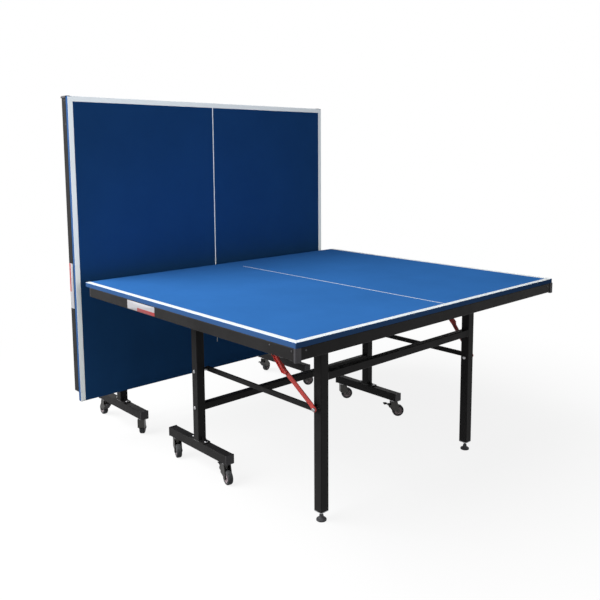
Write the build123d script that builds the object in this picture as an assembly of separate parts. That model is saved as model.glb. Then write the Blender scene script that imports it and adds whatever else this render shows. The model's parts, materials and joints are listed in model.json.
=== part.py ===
from build123d import *
import os
from math import cos, radians, sin

os.makedirs("parts", exist_ok=True)

# Whole table, millimetres and degrees
TABLE_HEIGHT = 760.0
HALF_LENGTH = 1370.0
TABLE_WIDTH = 1525.0
NET_GAP = 95.0

# Board and the tube frame under it
BOARD_THICKNESS = 18.0
BOARD_CORNER = 4.0
BOARD_EDGE = 1.5
RAIL_HEIGHT = 40.0
RAIL_WIDTH = 20.0
RAIL_PROUD = 1.0
NET_OVERHANG = 45.0
RAIL_PLUG = 3.0
CAP_LENGTH = 8.0
CAP_DROP = 4.0
CAP_PROUD = 2.0
CAP_CORNER = 6.0
CAP_SPIGOT = 30.0
CROSS_RAIL_WIDTH = 30.0
CROSS_RAIL_HEIGHT = 25.0
NET_RAIL_SETBACK = 5.0
TUBE_WALL = 1.5
TUBE_CORNER = 3.0

# Legs and hinges
LEG_SIZE = 38.0
WHEEL_LEG_X = 495.0
WHEEL_LEG_Y = 520.0
END_LEG_X = 1150.0
END_LEG_Y = 446.0
END_LEG_BOTTOM = 36.0
LEG_PLUG = 3.0
LEG_PLUG_DEPTH = 20.0
PIVOT_DROP = 70.0
LINK_HEIGHT = 423.0
STRETCHER_SIZE = 30.0
WHEEL_STRETCHER_HEIGHT = 268.0
END_STRETCHER_HEIGHT = 535.0
STRETCHER_PLUG = 12.0
BRACKET_PLATE = 4.0
EAR_RADIUS = 16.0
CROWN_GAP = 4.0
STAY_EAR_RADIUS = 13.0
STAY_EAR_FLANGE = 26.0

# Pins and bolts
PIVOT_PIN = 10.0
PIN_HEAD_RADIUS = 9.0
PIN_HEAD = 5.0
LINK_BOLT = 8.0
BOLT_HEAD_RADIUS = 7.5
BOLT_HEAD = 5.0

# Wheeled foot
FOOT_LENGTH = 420.0
FOOT_CAP = 4.0
FOOT_CAP_LIP = 1.0
FOOT_CAP_EDGE = 1.2
FOOT_CAP_SPIGOT = 14.0
BASE_PLATE = 4.0
BASE_CORNER = 6.0
GUSSET = 17.0
GUSSET_PLATE = 6.0
CASTER_SPACING = 354.0

# Links and stays
LINK_BAR_HEIGHT = 20.0
LINK_BAR_THICKNESS = 10.0
LINK_BAR_EDGE = 1.5
LINK_OFFSET = 3.0
STAY_WIDTH = 20.0
STAY_INSET = 8.0
STAY_PLATE = 4.0
STAY_FLANGE = 5.0
STAY_FLANGE_PLATE = 2.5
STAY_TAIL = 22.0
STAY_CRANK = 20.0
RIVET_RADIUS = 6.0
RIVET_HEAD = 3.0

# Casters
CASTER_HEIGHT = 85.0
SWIVEL_STACK = 27.0
CASTER_TRAIL = 24.0
WHEEL_WIDTH = 24.0
TREAD_ROUND = 7.0
TREAD_DEPTH = 9.0
WHEEL_DISH = 2.5
FORK_PLATE = 2.5
FORK_CROWN = 3.0
FORK_BACK = 14.0
FORK_FRONT = 18.0
FORK_BOSS = 7.0
FORK_WEB_RISE = 11.0
CUP_DEPTH = 15.0
RACE_RADIUS = 15.0
RACE_HEIGHT = 5.0
AXLE = 8.0
AXLE_HEAD_RADIUS = 6.0
AXLE_HEAD = 1.5
STEM = 10.0
STEM_HEAD_RADIUS = 8.5
STEM_HEAD = 3.6
STEM_NUT = 8.0
PEDAL_SETBACK = 44.0
PEDAL_DROP = 20.5
PEDAL_PIN = 4.0
PEDAL_BARREL = 4.0
PEDAL_TAB = 30.0
PEDAL_TAB_RISE = 13.0
PEDAL_TAB_PLATE = 3.0
SHOE_PLATE = 4.0
SHOE_BEARING = 165.0

# Levelling feet
PAD_DIAMETER = 38.0
PAD_RIM = 5.0
PAD_BEVEL = 2.0
PAD_WAIST = 21.5
PAD_NECK = 2.5
STUD = 10.0
STUD_REACH = 30.0

# Clearances
RUNNING_FIT = 0.05
OPEN_PIVOT_FIT = 0.5
SIDE_GAP = 0.5
BOLT_FIT = 0.2
PLUG_FIT = 0.2
RACE_GAP = 0.4
WHEEL_SIDE_GAP = 1.5
PEDAL_SIDE_GAP = 1.0
SHOE_GAP = 2.8

# Heading of each caster wheel seen from above, from its stem towards its axle
CASTER_HEADING = {
    "play": {"net_left": -22.0, "end_left": -12.0, "net_right": 60.0, "end_right": 55.0},
    "fold": {"net_left": 140.0, "end_left": 175.0, "net_right": 60.0, "end_right": 110.0},
}

# Derived heights
UNDERSIDE = TABLE_HEIGHT - BOARD_THICKNESS
RAIL_BOTTOM = UNDERSIDE - RAIL_HEIGHT
PIVOT_HEIGHT = TABLE_HEIGHT - PIVOT_DROP
FOOT_BOTTOM = CASTER_HEIGHT
FOOT_TOP = FOOT_BOTTOM + LEG_SIZE
BASE_TOP = FOOT_TOP + BASE_PLATE
LEG_HALF = LEG_SIZE / 2
TUBE_INSIDE = LEG_HALF - TUBE_WALL

# Derived positions along the table, measured from the net edge of a half
RAIL_OUTER_Y = TABLE_WIDTH / 2 + RAIL_PROUD
RAIL_INNER_Y = RAIL_OUTER_Y - RAIL_WIDTH
RAIL_END_X = HALF_LENGTH + RAIL_PROUD
CAP_SEAT_X = RAIL_END_X - CAP_LENGTH
BEAM_REACH = LEG_HALF + CROWN_GAP + BRACKET_PLATE
STAY_ARM = PIVOT_HEIGHT - LINK_HEIGHT
STAY_PIVOT_X = END_LEG_X - STAY_ARM
STAY_LENGTH = STAY_ARM * 2 ** 0.5 / 2
STAY_BEAM_X = STAY_PIVOT_X + STAY_EAR_RADIUS + BRACKET_PLATE
CLEVIS_INSIDE = LEG_HALF + SIDE_GAP
CLEVIS_OUTSIDE = CLEVIS_INSIDE + BRACKET_PLATE
BASE_BOLT_STEP = LEG_HALF + GUSSET + BOLT_HEAD_RADIUS + SIDE_GAP
BASE_HALF_LENGTH = BASE_BOLT_STEP + BOLT_HEAD_RADIUS + 2 * SIDE_GAP

# Derived positions across the table, from its centre line outwards
LINK_INNER_Y = END_LEG_Y + LEG_HALF + LINK_OFFSET
LINK_OUTER_Y = LINK_INNER_Y + LINK_BAR_THICKNESS
LOWER_STAY_Y = LINK_OUTER_Y + SIDE_GAP
UPPER_STAY_Y = WHEEL_LEG_Y - STAY_INSET
STAY_EAR_Y = UPPER_STAY_Y + STAY_PLATE + SIDE_GAP

# Derived caster sizes
WHEEL_RADIUS = (CASTER_HEIGHT - SWIVEL_STACK) / 2
RACE_BOTTOM = CASTER_HEIGHT - RACE_HEIGHT
FORK_TOP = RACE_BOTTOM - RACE_GAP
FORK_UNDER = FORK_TOP - FORK_CROWN
FORK_WEB_BOTTOM = WHEEL_RADIUS + FORK_WEB_RISE
CHEEK_INSIDE = WHEEL_WIDTH / 2 + WHEEL_SIDE_GAP
CHEEK_OUTSIDE = CHEEK_INSIDE + FORK_PLATE
PEDAL_PIVOT_U = CASTER_TRAIL - PEDAL_SETBACK
PEDAL_PIVOT_Z = FORK_UNDER - PEDAL_DROP

# Where the folded half stands: its playing face is NET_GAP behind the net edge of the open half
FOLD_ORIGIN = WHEEL_LEG_X - PIVOT_DROP - NET_GAP


def block(x0, x1, y0, y1, z0, z1):
    """Box between two corners."""
    middle = Pos((x0 + x1) / 2, (y0 + y1) / 2, (z0 + z1) / 2)
    return middle * Box(abs(x1 - x0), abs(y1 - y0), abs(z1 - z0))


def rod_y(x, z, y0, y1, radius):
    """Round bar across the table."""
    return Pos(x, (y0 + y1) / 2, z) * Rot(90, 0, 0) * Cylinder(radius, abs(y1 - y0))


def rod_z(x, y, z0, z1, radius):
    """Upright round bar."""
    return Pos(x, y, (z0 + z1) / 2) * Cylinder(radius, abs(z1 - z0))


def plate_xz(points, y0, y1):
    """Flat plate with an outline in X and Z, between two distances across the table."""
    face = Plane.XZ * Polygon(*points, align=None)
    return Pos(0, y0, 0) * extrude(face, abs(y1 - y0), dir=(0, 1, 0))


def tube(along, x0, x1, y0, y1, z0, z1):
    """Rectangular steel tube, open at both ends, with rounded long edges."""
    axis = {"x": Axis.X, "y": Axis.Y, "z": Axis.Z}[along]
    outer = fillet(block(x0, x1, y0, y1, z0, z1).edges().filter_by(axis), TUBE_CORNER)
    cut = {name: TUBE_WALL for name in "xyz"}
    cut[along] = -TUBE_WALL
    inner = block(
        x0 + cut["x"], x1 - cut["x"], y0 + cut["y"], y1 - cut["y"], z0 + cut["z"], z1 - cut["z"]
    )
    return outer - inner


def pair(*pieces):
    """Pieces of the +Y side together with their mirror images."""
    return list(pieces) + [mirror(piece, about=Plane.XZ) for piece in pieces]


def dome(x, y, z, radius, height):
    """Domed nut or bolt head standing on a level face."""
    return fillet(rod_z(x, y, z, z + height, radius).edges().sort_by(Axis.Z)[-1], height * 0.75)


def button(x, z, y0, y1, radius):
    """Round head across the table whose rim at y1 is rounded."""
    head = rod_y(x, z, y0, y1, radius)
    rim = head.edges().sort_by(Axis.Y)[-1 if y1 > y0 else 0]
    return fillet(rim, abs(y1 - y0) * 0.6)


def headed(x, z, y0, y1, shank, head, thickness):
    """Pin across the table from y0 to y1 with a rounded head outside each end."""
    low = button(x, z, y0, y0 - thickness, head)
    high = button(x, z, y1, y1 + thickness, head)
    return rod_y(x, z, y0, y1, shank) + low + high


def board():
    """Playing board of one half, flat on top at the playing height."""
    slab = block(0, HALF_LENGTH, -TABLE_WIDTH / 2, TABLE_WIDTH / 2, UNDERSIDE, TABLE_HEIGHT)
    slab = fillet(slab.edges().filter_by(Axis.Z), BOARD_CORNER)
    return fillet(slab.faces().sort_by(Axis.Z)[-1].edges(), BOARD_EDGE)


def apron_rails():
    """Two side rails over the whole length, and the end rail butted between them."""
    side = tube("x", NET_OVERHANG, CAP_SEAT_X, RAIL_INNER_Y, RAIL_OUTER_Y, RAIL_BOTTOM, UNDERSIDE)
    reach = RAIL_INNER_Y
    end = tube("y", RAIL_END_X - RAIL_WIDTH, RAIL_END_X, -reach, reach, RAIL_BOTTOM, UNDERSIDE)
    return pair(side) + [end]


def corner_cap():
    """Moulded cap on the end line end of a side rail, with a spigot inside the rail."""
    x1 = RAIL_END_X + CAP_PROUD
    y1 = RAIL_OUTER_Y + CAP_PROUD
    body = block(CAP_SEAT_X, x1, RAIL_INNER_Y, y1, RAIL_BOTTOM - CAP_DROP, UNDERSIDE)
    outer = body.edges().filter_by(Axis.Z).sort_by(lambda edge: edge.center().X + edge.center().Y)[-1]
    body = fillet(outer, CAP_CORNER)
    inset = TUBE_WALL + PLUG_FIT
    y0 = RAIL_INNER_Y + inset
    y1 = RAIL_OUTER_Y - inset
    inner = CAP_SEAT_X - CAP_SPIGOT
    return body + block(inner, CAP_SEAT_X, y0, y1, RAIL_BOTTOM + inset, UNDERSIDE - inset)


def rail_plug():
    """Plastic plug that closes a side rail at its net end."""
    inset = TUBE_WALL + PLUG_FIT
    seat = NET_OVERHANG
    head = block(seat - RAIL_PLUG, seat, RAIL_INNER_Y, RAIL_OUTER_Y, RAIL_BOTTOM, UNDERSIDE)
    head = fillet(head.edges().filter_by(Axis.X), TUBE_CORNER)
    y0 = RAIL_INNER_Y + inset
    y1 = RAIL_OUTER_Y - inset
    return head + block(seat, seat + CAP_SPIGOT, y0, y1, RAIL_BOTTOM + inset, UNDERSIDE - inset)


def cross_rails():
    """Four shallow tubes across the underside: at the net, at both leg hinges and at the stays."""
    starts = [NET_OVERHANG + NET_RAIL_SETBACK, WHEEL_LEG_X + BEAM_REACH, STAY_BEAM_X, END_LEG_X + BEAM_REACH]
    z0 = UNDERSIDE - CROSS_RAIL_HEIGHT
    return [
        tube("y", x, x + CROSS_RAIL_WIDTH, -RAIL_INNER_Y, RAIL_INNER_Y, z0, UNDERSIDE) for x in starts
    ]


def clevis(x, y):
    """Bracket with two ears around a leg top and a web against the cross rail."""
    web = x + BEAM_REACH
    low = y - CLEVIS_OUTSIDE
    high = y + CLEVIS_OUTSIDE
    body = block(x - EAR_RADIUS, web, low, high, PIVOT_HEIGHT, UNDERSIDE)
    body += block(x, web, low, high, PIVOT_HEIGHT - EAR_RADIUS, PIVOT_HEIGHT)
    body += rod_y(x, PIVOT_HEIGHT, low, high, EAR_RADIUS)
    body -= block(
        x - 2 * EAR_RADIUS,
        web - BRACKET_PLATE,
        y - CLEVIS_INSIDE,
        y + CLEVIS_INSIDE,
        PIVOT_HEIGHT - 2 * EAR_RADIUS,
        UNDERSIDE + BRACKET_PLATE,
    )
    return body - rod_y(x, PIVOT_HEIGHT, low - PIN_HEAD, high + PIN_HEAD, PIVOT_PIN / 2 + RUNNING_FIT)


def stay_ear():
    """Angle bracket that carries the upper end of a stay, bent against the stay's cross rail."""
    x = STAY_PIVOT_X
    y0 = STAY_EAR_Y
    y1 = STAY_EAR_Y + BRACKET_PLATE
    flange = STAY_BEAM_X - BRACKET_PLATE
    ear = block(x - STAY_EAR_RADIUS, STAY_BEAM_X, y0, y1, PIVOT_HEIGHT, UNDERSIDE)
    ear += rod_y(x, PIVOT_HEIGHT, y0, y1, STAY_EAR_RADIUS)
    ear += block(flange, STAY_BEAM_X, y0, y0 + STAY_EAR_FLANGE, UNDERSIDE - CROSS_RAIL_HEIGHT, UNDERSIDE)
    return ear - rod_y(x, PIVOT_HEIGHT, y0 - STAY_PLATE, y1 + STAY_PLATE, LINK_BOLT / 2 + RUNNING_FIT)


def hinge_brackets():
    """Leg clevises and stay ears of one top."""
    return pair(clevis(WHEEL_LEG_X, WHEEL_LEG_Y), clevis(END_LEG_X, END_LEG_Y), stay_ear())


def hinge_pins():
    """Pins through the leg clevises and the stay ears."""
    reach = CLEVIS_OUTSIDE
    pins = [
        headed(x, PIVOT_HEIGHT, y - reach, y + reach, PIVOT_PIN / 2, PIN_HEAD_RADIUS, PIN_HEAD)
        for x, y in ((WHEEL_LEG_X, WHEEL_LEG_Y), (END_LEG_X, END_LEG_Y))
    ]
    inner = UPPER_STAY_Y - SIDE_GAP
    outer = STAY_EAR_Y + BRACKET_PLATE
    pins.append(
        headed(STAY_PIVOT_X, PIVOT_HEIGHT, inner, outer, LINK_BOLT / 2, BOLT_HEAD_RADIUS, BOLT_HEAD)
    )
    return pair(*pins)


def leg(x, y, bottom):
    """Square tube leg whose closed top is rounded about the hinge."""
    shell = block(x - LEG_HALF, x + LEG_HALF, y - LEG_HALF, y + LEG_HALF, bottom, PIVOT_HEIGHT)
    shell = fillet(shell.edges().filter_by(Axis.Z), TUBE_CORNER)
    crown = rod_y(x, PIVOT_HEIGHT, y - LEG_HALF, y + LEG_HALF, LEG_HALF)
    crown = fillet(crown.edges().filter_by(GeomType.CIRCLE), TUBE_CORNER)
    shell += crown
    low = bottom - TUBE_WALL
    shell -= block(
        x - TUBE_INSIDE, x + TUBE_INSIDE, y - TUBE_INSIDE, y + TUBE_INSIDE, low, PIVOT_HEIGHT
    )
    shell -= rod_y(x, PIVOT_HEIGHT, y - TUBE_INSIDE, y + TUBE_INSIDE, TUBE_INSIDE)
    hole = PIVOT_PIN / 2 + RUNNING_FIT
    return shell - rod_y(x, PIVOT_HEIGHT, y - LEG_SIZE, y + LEG_SIZE, hole)


def base_bolt_positions():
    """Places of the two bolts that hold a wheel leg to its foot."""
    return [(WHEEL_LEG_X - BASE_BOLT_STEP, WHEEL_LEG_Y), (WHEEL_LEG_X + BASE_BOLT_STEP, WHEEL_LEG_Y)]


def wheel_leg():
    """Upright of the wheeled stand, drilled for the link bolt and the stretcher bolt."""
    x, y = WHEEL_LEG_X, WHEEL_LEG_Y
    body = leg(x, y, BASE_TOP)
    for height in (LINK_HEIGHT, WHEEL_STRETCHER_HEIGHT):
        body -= rod_y(x, height, y - LEG_SIZE, y + LEG_SIZE, LINK_BOLT / 2 + BOLT_FIT)
    return body


def leg_base():
    """Base plate under a wheel leg with a gusset on each side of the tube."""
    x, y = WHEEL_LEG_X, WHEEL_LEG_Y
    half = BASE_HALF_LENGTH
    body = block(x - half, x + half, y - LEG_HALF, y + LEG_HALF, FOOT_TOP, BASE_TOP)
    body = fillet(body.edges().filter_by(Axis.Z), BASE_CORNER)
    for way in (-1.0, 1.0):
        root = x + way * LEG_HALF
        tip = x + way * (LEG_HALF + GUSSET)
        outline = [(root, BASE_TOP), (tip, BASE_TOP), (root, BASE_TOP + GUSSET)]
        body += plate_xz(outline, y - GUSSET_PLATE / 2, y + GUSSET_PLATE / 2)
    for bx, by in base_bolt_positions():
        body -= rod_z(bx, by, FOOT_BOTTOM, BASE_TOP + BOLT_HEAD, LINK_BOLT / 2 + BOLT_FIT)
    return body


def caster_positions():
    """Stem places of the two casters on the +Y foot: net side first, then end side."""
    half = CASTER_SPACING / 2
    return [(WHEEL_LEG_X - half, WHEEL_LEG_Y), (WHEEL_LEG_X + half, WHEEL_LEG_Y)]


def wheel_foot():
    """Foot tube of the wheeled stand, lying along the table."""
    half = FOOT_LENGTH / 2 - FOOT_CAP
    low = WHEEL_LEG_Y - LEG_HALF
    high = WHEEL_LEG_Y + LEG_HALF
    body = tube("x", WHEEL_LEG_X - half, WHEEL_LEG_X + half, low, high, FOOT_BOTTOM, FOOT_TOP)
    for x, y in caster_positions():
        body -= rod_z(x, y, RACE_BOTTOM, FOOT_BOTTOM + 2 * TUBE_WALL, STEM / 2 + BOLT_FIT)
    for x, y in base_bolt_positions():
        body -= rod_z(x, y, FOOT_TOP - 2 * TUBE_WALL, BASE_TOP, LINK_BOLT / 2 + BOLT_FIT)
    return body


def foot_cap(way):
    """Plastic plug in one end of a foot tube, with a small lip all round."""
    end = WHEEL_LEG_X + way * FOOT_LENGTH / 2
    seat = end - way * FOOT_CAP
    spigot = TUBE_INSIDE - PLUG_FIT
    middle = FOOT_BOTTOM + LEG_HALF
    lip = LEG_HALF + FOOT_CAP_LIP
    y = WHEEL_LEG_Y
    head = block(seat, end, y - lip, y + lip, middle - lip, middle + lip)
    head = fillet(head.edges().filter_by(Axis.X), TUBE_CORNER)
    head = fillet(head.faces().sort_by(Axis.X)[-1 if way > 0 else 0].edges(), FOOT_CAP_EDGE)
    inner = seat - way * FOOT_CAP_SPIGOT
    return head + block(inner, seat, y - spigot, y + spigot, middle - spigot, middle + spigot)


def stretcher(x, reach, height, bolt):
    """Square cross tube between two legs, closed at both ends; drilled for a bolt where it has one."""
    half = STRETCHER_SIZE / 2
    hollow = half - TUBE_WALL
    inside = reach - STRETCHER_PLUG
    body = block(x - half, x + half, -reach, reach, height - half, height + half)
    body = fillet(body.edges().filter_by(Axis.Y), TUBE_CORNER)
    body -= block(x - hollow, x + hollow, -inside, inside, height - hollow, height + hollow)
    if bolt:
        body -= rod_y(x, height, -reach - LEG_SIZE, reach + LEG_SIZE, LINK_BOLT / 2 + RUNNING_FIT)
    return body


def stand_hardware():
    """Bolts, spacers and caster stems that belong to the wheeled stand."""
    x, y = WHEEL_LEG_X, WHEEL_LEG_Y
    inner = y - LEG_HALF
    outer = y + LEG_HALF
    shank = LINK_BOLT / 2
    link = headed(x, LINK_HEIGHT, LINK_INNER_Y - SIDE_GAP, outer, shank, BOLT_HEAD_RADIUS, BOLT_HEAD)
    link += rod_y(x, LINK_HEIGHT, LINK_OUTER_Y + SIDE_GAP, inner, BOLT_HEAD_RADIUS)
    cross = rod_y(x, WHEEL_STRETCHER_HEIGHT, inner - STRETCHER_PLUG, outer, shank)
    cross += button(x, WHEEL_STRETCHER_HEIGHT, outer, outer + BOLT_HEAD, BOLT_HEAD_RADIUS)
    pieces = [link, cross]
    for bx, by in base_bolt_positions():
        bolt = dome(bx, by, BASE_TOP, BOLT_HEAD_RADIUS, BOLT_HEAD)
        pieces.append(bolt + rod_z(bx, by, FOOT_TOP - TUBE_WALL - LINK_BOLT, BASE_TOP, shank))
    for cx, cy in caster_positions():
        collar = FORK_UNDER - RACE_GAP
        inside = FOOT_BOTTOM + TUBE_WALL
        stem = rod_z(cx, cy, collar, inside, STEM / 2)
        stem += rod_z(cx, cy, RACE_BOTTOM, FOOT_BOTTOM, RACE_RADIUS)
        stem += rod_z(cx, cy, collar - STEM_HEAD, collar, STEM_HEAD_RADIUS)
        pieces.append(stem + dome(cx, cy, inside, BOLT_HEAD_RADIUS, STEM_NUT))
    return pair(*pieces)


def end_leg():
    """Leg near the end line, standing on a levelling foot."""
    x, y = END_LEG_X, END_LEG_Y
    body = leg(x, y, END_LEG_BOTTOM + LEG_PLUG)
    return body - rod_y(x, LINK_HEIGHT, y - LEG_SIZE, y + LEG_SIZE, LINK_BOLT / 2 + BOLT_FIT)


def end_leg_hardware():
    """Pivot bolts for link and stay, and the threaded plugs in the leg ends."""
    x, y = END_LEG_X, END_LEG_Y
    inner = y - LEG_HALF
    outer = y + LEG_HALF
    reach = LOWER_STAY_Y + STAY_PLATE + SIDE_GAP
    bolt = headed(x, LINK_HEIGHT, inner, reach, LINK_BOLT / 2, BOLT_HEAD_RADIUS, BOLT_HEAD)
    bolt += rod_y(x, LINK_HEIGHT, outer, LINK_INNER_Y - SIDE_GAP, PIN_HEAD_RADIUS)
    seat = END_LEG_BOTTOM + LEG_PLUG
    fit = TUBE_INSIDE - PLUG_FIT
    plug = block(x - LEG_HALF, x + LEG_HALF, y - LEG_HALF, y + LEG_HALF, END_LEG_BOTTOM, seat)
    plug = fillet(plug.edges().filter_by(Axis.Z), TUBE_CORNER)
    plug += block(x - fit, x + fit, y - fit, y + fit, seat, seat + LEG_PLUG_DEPTH)
    plug -= rod_z(x, y, 0, seat + 2 * LEG_PLUG_DEPTH, STUD / 2 + RUNNING_FIT)
    return pair(bolt, plug)


def link_bar():
    """Flat link from the wheel leg to the end leg, eyed at both ends."""
    half = LINK_BAR_HEIGHT / 2
    y0, y1, z = LINK_INNER_Y, LINK_OUTER_Y, LINK_HEIGHT
    body = block(WHEEL_LEG_X, END_LEG_X, y0, y1, z - half, z + half)
    for x in (WHEEL_LEG_X, END_LEG_X):
        body += rod_y(x, z, y0, y1, half)
    body = fillet(body.faces().filter_by(Axis.Y).edges(), LINK_BAR_EDGE)
    for x, fit in ((WHEEL_LEG_X, RUNNING_FIT), (END_LEG_X, OPEN_PIVOT_FIT)):
        body -= rod_y(x, z, y0 - half, y1 + half, LINK_BOLT / 2 + fit)
    return body


def stadium(x1, half, y0, y1):
    """Flat bar lying along X from the origin, round at both ends."""
    return block(0, x1, y0, y1, -half, half) + rod_y(0, 0, y0, y1, half) + rod_y(x1, 0, y0, y1, half)


def upper_stay():
    """Upper channel of a stay, sloping down at 45 degrees from its ear towards the end leg."""
    half = STAY_WIDTH / 2
    y0 = UPPER_STAY_Y
    y1 = y0 + STAY_PLATE
    end = STAY_LENGTH + STAY_TAIL
    body = stadium(end, half, y0, y1)
    for z0, z1 in ((half - STAY_FLANGE_PLATE, half), (-half, STAY_FLANGE_PLATE - half)):
        body += block(2 * EAR_RADIUS, end, y1, y1 + STAY_FLANGE, z0, z1)
    body += button(STAY_LENGTH, 0, y1, y1 + RIVET_HEAD, RIVET_RADIUS)
    body -= rod_y(0, 0, y0 - STAY_PLATE, y1 + STAY_PLATE, LINK_BOLT / 2 + RUNNING_FIT)
    return Pos(STAY_PIVOT_X, 0, PIVOT_HEIGHT) * Rot(0, 45, 0) * body


def lower_stay():
    """Lower bar of a stay, cranked outwards from the end leg's bolt to the upper channel."""
    half = STAY_WIDTH / 2 - SIDE_GAP
    t = STAY_PLATE
    y0 = LOWER_STAY_Y
    y1 = UPPER_STAY_Y - t - SIDE_GAP
    end = STAY_LENGTH + half
    outline = [(-half, y0), (STAY_CRANK, y0), (STAY_LENGTH - STAY_CRANK, y1), (end, y1)]
    outline += [(x, y + t) for x, y in reversed(outline)]
    bar = Pos(0, 0, -half) * extrude(Polygon(*outline, align=None), 2 * half, dir=(0, 0, 1))
    bar &= stadium(STAY_LENGTH, half, y0 - t, y1 + 2 * t)
    bar += button(STAY_LENGTH, 0, y1, y1 - RIVET_HEAD, RIVET_RADIUS)
    bar -= rod_y(0, 0, y0 - t, y0 + 2 * t, LINK_BOLT / 2 + RUNNING_FIT)
    return Pos(END_LEG_X, 0, LINK_HEIGHT) * Rot(0, -135, 0) * bar


def levelling_foot():
    """Flared pad on a threaded stud that screws into the end leg."""
    pad = PAD_DIAMETER / 2
    stud = STUD / 2
    top = END_LEG_BOTTOM + STUD_REACH
    outline = [
        (0, 0),
        (pad, 0),
        (pad, PAD_RIM),
        (pad - PAD_BEVEL, PAD_RIM + PAD_BEVEL),
        (stud + PAD_NECK, PAD_WAIST),
        (stud, PAD_WAIST),
        (stud, top),
        (0, top),
    ]
    turned = revolve(Plane.XZ * Polygon(*outline, align=None), Axis.Z)
    return Pos(END_LEG_X, END_LEG_Y, 0) * turned


def caster_fork(brake):
    """Caster fork with its stem on the origin and its axle trailing along +X; the axle is a second solid."""
    trail, axle_z = CASTER_TRAIL, WHEEL_RADIUS
    u, z = PEDAL_PIVOT_U, PEDAL_PIVOT_Z
    arm = [
        (-FORK_BACK, FORK_TOP),
        (-FORK_BACK, FORK_WEB_BOTTOM),
        (trail - FORK_BOSS, axle_z),
        (trail + FORK_BOSS, axle_z),
        (FORK_FRONT, FORK_TOP),
    ]
    ear_radius = PEDAL_BARREL + FORK_PLATE
    ear = [(u / 2, z + ear_radius), (u, z + ear_radius), (u, z - ear_radius), (u / 2, z - ear_radius)]
    body = block(-FORK_BACK, FORK_FRONT, -CHEEK_OUTSIDE, CHEEK_OUTSIDE, FORK_UNDER, FORK_TOP)
    body += rod_z(0, 0, FORK_UNDER - CUP_DEPTH, FORK_UNDER, CHEEK_INSIDE - SIDE_GAP)
    body -= rod_z(0, 0, FORK_UNDER - CUP_DEPTH, FORK_UNDER, STEM_HEAD_RADIUS + SIDE_GAP)
    for y0, y1 in ((CHEEK_INSIDE, CHEEK_OUTSIDE), (-CHEEK_OUTSIDE, -CHEEK_INSIDE)):
        body += plate_xz(arm, y0, y1) + rod_y(trail, axle_z, y0, y1, FORK_BOSS)
        if brake:
            body += plate_xz(ear, y0, y1) + rod_y(u, z, y0, y1, ear_radius)
    if not brake:
        front = FORK_PLATE - FORK_BACK
        body += block(-FORK_BACK, front, -CHEEK_OUTSIDE, CHEEK_OUTSIDE, FORK_WEB_BOTTOM, FORK_TOP)
    body -= rod_z(0, 0, FORK_UNDER, FORK_TOP, STEM / 2 + RUNNING_FIT)
    wide = CHEEK_OUTSIDE + FORK_PLATE
    body -= rod_y(trail, axle_z, -wide, wide, AXLE / 2 + RUNNING_FIT)
    if brake:
        body -= rod_y(u, z, -wide, wide, PEDAL_PIN / 2 + RUNNING_FIT)
    axle = headed(trail, axle_z, -CHEEK_OUTSIDE, CHEEK_OUTSIDE, AXLE / 2, AXLE_HEAD_RADIUS, AXLE_HEAD)
    return [body, axle]


def caster_wheel():
    """Wheel with a rounded tread and a shallow dish round the hub in each side."""
    half = WHEEL_WIDTH / 2
    bore = AXLE / 2 + RUNNING_FIT
    body = rod_y(0, 0, -half, half, WHEEL_RADIUS)
    body = fillet(body.edges().filter_by(GeomType.CIRCLE), TREAD_ROUND)
    for y0, y1 in ((half - WHEEL_DISH, half), (-half, WHEEL_DISH - half)):
        dish = rod_y(0, 0, y0, y1, WHEEL_RADIUS - TREAD_DEPTH)
        body -= dish - rod_y(0, 0, y0, y1, AXLE)
    body -= rod_y(0, 0, -WHEEL_WIDTH, WHEEL_WIDTH, bore)
    return [Pos(CASTER_TRAIL, 0, WHEEL_RADIUS) * body]


def brake_pedal():
    """Brake pedal between the fork cheeks: a tab to tread on and a shoe over the wheel."""
    u, z, r = PEDAL_PIVOT_U, PEDAL_PIVOT_Z, PEDAL_BARREL
    half = CHEEK_INSIDE - PEDAL_SIDE_GAP
    near = WHEEL_RADIUS + SHOE_GAP
    tip_u = CASTER_TRAIL + near * cos(radians(SHOE_BEARING))
    tip_z = WHEEL_RADIUS + near * sin(radians(SHOE_BEARING))
    t = PEDAL_TAB_PLATE
    bend = u - PEDAL_TAB / 2
    tip = u - PEDAL_TAB
    rise = z + PEDAL_TAB_RISE
    tab = [(u, z - r), (u, z + r), (bend, rise), (tip, rise), (tip, rise - t), (bend, rise - t)]
    shoe = [(u - r, z), (u + r, z), (tip_u, tip_z), (tip_u - SHOE_PLATE, tip_z - SHOE_PLATE / 4)]
    body = rod_y(u, z, -half, half, r)
    body += plate_xz(tab, -half, half) + plate_xz(shoe, -half, half)
    return [body + rod_y(u, z, -CHEEK_OUTSIDE, CHEEK_OUTSIDE, PEDAL_PIN / 2)]


def turn(x, z, angle):
    """Turn about a cross axis at x and z; a positive angle lifts the end line side."""
    return Pos(x, 0, z) * Rot(0, -angle, 0) * Pos(-x, 0, -z)


def body_places(half):
    """Place of every moving body of one half: open for play, or folded upright."""
    if half == "play":
        return {name: Pos(0, 0, 0) for name in ("stand", "top", "legs", "links", "upper", "lower")}
    reach = END_LEG_X - WHEEL_LEG_X
    stand = Pos(FOLD_ORIGIN, 0, 0) * Rot(0, 0, 180)
    top = stand * turn(WHEEL_LEG_X, PIVOT_HEIGHT, 90)
    legs = stand * Pos(-reach, 0, reach)
    return {
        "stand": stand,
        "top": top,
        "legs": legs,
        "links": stand * turn(WHEEL_LEG_X, LINK_HEIGHT, 90),
        "upper": top * turn(STAY_PIVOT_X, PIVOT_HEIGHT, 45),
        "lower": legs * turn(END_LEG_X, LINK_HEIGHT, -45),
    }


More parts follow.
